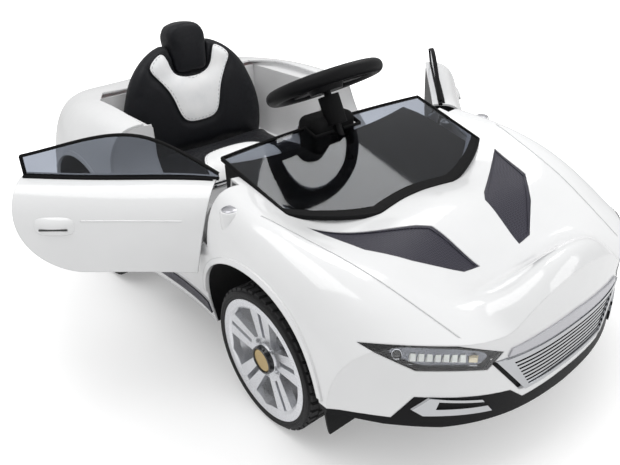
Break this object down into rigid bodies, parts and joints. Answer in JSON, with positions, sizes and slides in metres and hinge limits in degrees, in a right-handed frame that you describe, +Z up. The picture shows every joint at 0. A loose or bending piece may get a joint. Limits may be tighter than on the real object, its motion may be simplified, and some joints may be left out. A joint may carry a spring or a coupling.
{
  "type": "electric ride-on car",
  "caption": "Child's electric ride-on sports car with opening side doors, steering front wheels, moulded body, visor windscreen, bucket seat and chrome grille.",
  "frame": {"origin": "middle of the car at floor level", "axes": "+X forward, +Y to the left of the driver, +Z up"},
  "size_m": [1.022, 0.938, 0.4438],
  "materials": {
    "white_gloss": "gloss",
    "white_matte": "satin",
    "black_plastic": "matte",
    "dark_trim": "gloss",
    "chrome": "polished",
    "silver": "satin",
    "smoked_glass": "gloss",
    "clear_glass": "gloss",
    "red_lens": "gloss",
    "black_leather": "satin",
    "light_leather": "satin",
    "tyre": "matte",
    "gold_cap": "satin",
    "steel": "brushed",
    "grip": "matte"
  },
  "bodies": {
    "chassis": {"body_shell": "white_gloss", "front_bumper": "black_plastic", "rear_bumper": "black_plastic", "grille": "chrome", "nose_trim": "silver", "fog_trims": "chrome", "headlight_housings": "black_plastic", "headlight_lenses": "clear_glass", "tail_lights": "red_lens", "hood_vents": "dark_trim", "side_skirts": "dark_trim", "windscreen": "smoked_glass", "cockpit_tub": "white_matte", "seat_box": "white_matte", "door_frames": "white_matte", "floor_screws": "steel", "front_axle_beam": "steel", "steering_bracket": "steel", "floor_pan": "black_plastic", "rear_axle": "steel", "gearboxes": "black_plastic", "drive_motors": "steel", "battery": "black_plastic", "front_wheel_wells": "black_plastic", "rear_wheel_wells": "black_plastic", "charging_socket": "black_plastic", "pivot_pins": "steel", "dashboard": "black_plastic", "seat_cushion": "black_leather", "seat_cushion_insert": "light_leather", "seat_back": "black_leather", "seat_back_insert": "light_leather", "headrest": "black_leather"},
    "steering": {"steering_wheel": "grip", "steering_shaft": "steel"},
    "horn": {"horn_button": "black_plastic"},
    "right_steer": {"right_knuckle": "steel"},
    "left_steer": {"left_knuckle": "steel"},
    "track_link": {"tie_rod": "steel"},
    "front_right_wheel": {"front_right_tyre": "tyre", "front_right_rim": "silver", "front_right_hub_cap": "gold_cap"},
    "front_left_wheel": {"front_left_tyre": "tyre", "front_left_rim": "silver", "front_left_hub_cap": "gold_cap"},
    "rear_right_wheel": {"rear_right_tyre": "tyre", "rear_right_rim": "silver", "rear_right_hub_cap": "gold_cap"},
    "rear_left_wheel": {"rear_left_tyre": "tyre", "rear_left_rim": "silver", "rear_left_hub_cap": "gold_cap"},
    "right_door": {"right_door_panel": "white_gloss", "right_door_liner": "black_plastic", "right_door_window": "smoked_glass"},
    "left_door": {"left_door_panel": "white_gloss", "left_door_liner": "black_plastic", "left_door_window": "smoked_glass"},
    "throttle": {"pedal": "grip"},
    "power": {"power_switch": "red_lens"},
    "direction": {"direction_switch": "black_plastic"}
  },
  "joints": [
    {"name": "steering_turn", "type": "hinge", "parent": "chassis", "child": "steering", "pos_m": [0.048, 0, 0.396], "axis": [-0.4384, 0, 0.8988], "range_deg": [-40, 40]},
    {"name": "horn_press", "type": "slide", "parent": "steering", "child": "horn", "axis": [0.4384, 0, -0.8988], "range_m": [0, 0.003], "stiffness_N_per_m": 500, "springref_m": -0.001},
    {"name": "right_kingpin", "type": "hinge", "parent": "chassis", "child": "right_steer", "pos_m": [0.224, -0.185, 0.105], "axis": [0, 0, 1], "range_deg": [-18, 18]},
    {"name": "left_kingpin", "type": "hinge", "parent": "chassis", "child": "left_steer", "pos_m": [0.224, 0.185, 0.105], "axis": [0, 0, 1], "range_deg": [-18, 18]},
    {"name": "tie_rod_pivot", "type": "hinge", "parent": "right_steer", "child": "track_link", "pos_m": [0.148, -0.185, 0.1014], "axis": [0, 0, 1], "range_deg": [-18, 18]},
    {"name": "front_right_roll", "type": "hinge", "parent": "right_steer", "child": "front_right_wheel", "pos_m": [0.224, -0.242, 0.105], "axis": [0, 1, 0], "continuous": true},
    {"name": "front_left_roll", "type": "hinge", "parent": "left_steer", "child": "front_left_wheel", "pos_m": [0.224, 0.242, 0.105], "axis": [0, 1, 0], "continuous": true},
    {"name": "rear_right_roll", "type": "hinge", "parent": "chassis", "child": "rear_right_wheel", "pos_m": [-0.316, -0.242, 0.105], "axis": [0, 1, 0], "continuous": true},
    {"name": "rear_left_roll", "type": "hinge", "parent": "chassis", "child": "rear_left_wheel", "pos_m": [-0.316, 0.242, 0.105], "axis": [0, 1, 0], "continuous": true},
    {"name": "right_door_swing", "type": "hinge", "parent": "chassis", "child": "right_door", "pos_m": [0.106, -0.232, 0.265], "axis": [0, 0, 1], "range_deg": [-45.5, 4]},
    {"name": "left_door_swing", "type": "hinge", "parent": "chassis", "child": "left_door", "pos_m": [0.106, 0.232, 0.265], "axis": [0, 0, -1], "range_deg": [-45.5, 4]},
    {"name": "pedal_press", "type": "hinge", "parent": "chassis", "child": "throttle", "pos_m": [0.08, -0.07, 0.1], "axis": [0, 1, 0], "range_deg": [0, 15], "stiffness_Nm_per_rad": 1.5, "springref_deg": -5.73},
    {"name": "power_rock", "type": "hinge", "parent": "chassis", "child": "power", "pos_m": [0.047, 0.105, 0.256], "axis": [0, 1, 0], "range_deg": [-8, 8]},
    {"name": "direction_rock", "type": "hinge", "parent": "chassis", "child": "direction", "pos_m": [0.047, 0.14, 0.256], "axis": [0, 1, 0], "range_deg": [-8, 8]}
  ],
  "couplings": [
    {"joint": "right_kingpin", "follows": "steering_turn", "ratio": 0.45},
    {"joint": "left_kingpin", "follows": "steering_turn", "ratio": 0.45},
    {"joint": "tie_rod_pivot", "follows": "steering_turn", "ratio": -0.45}
  ]
}
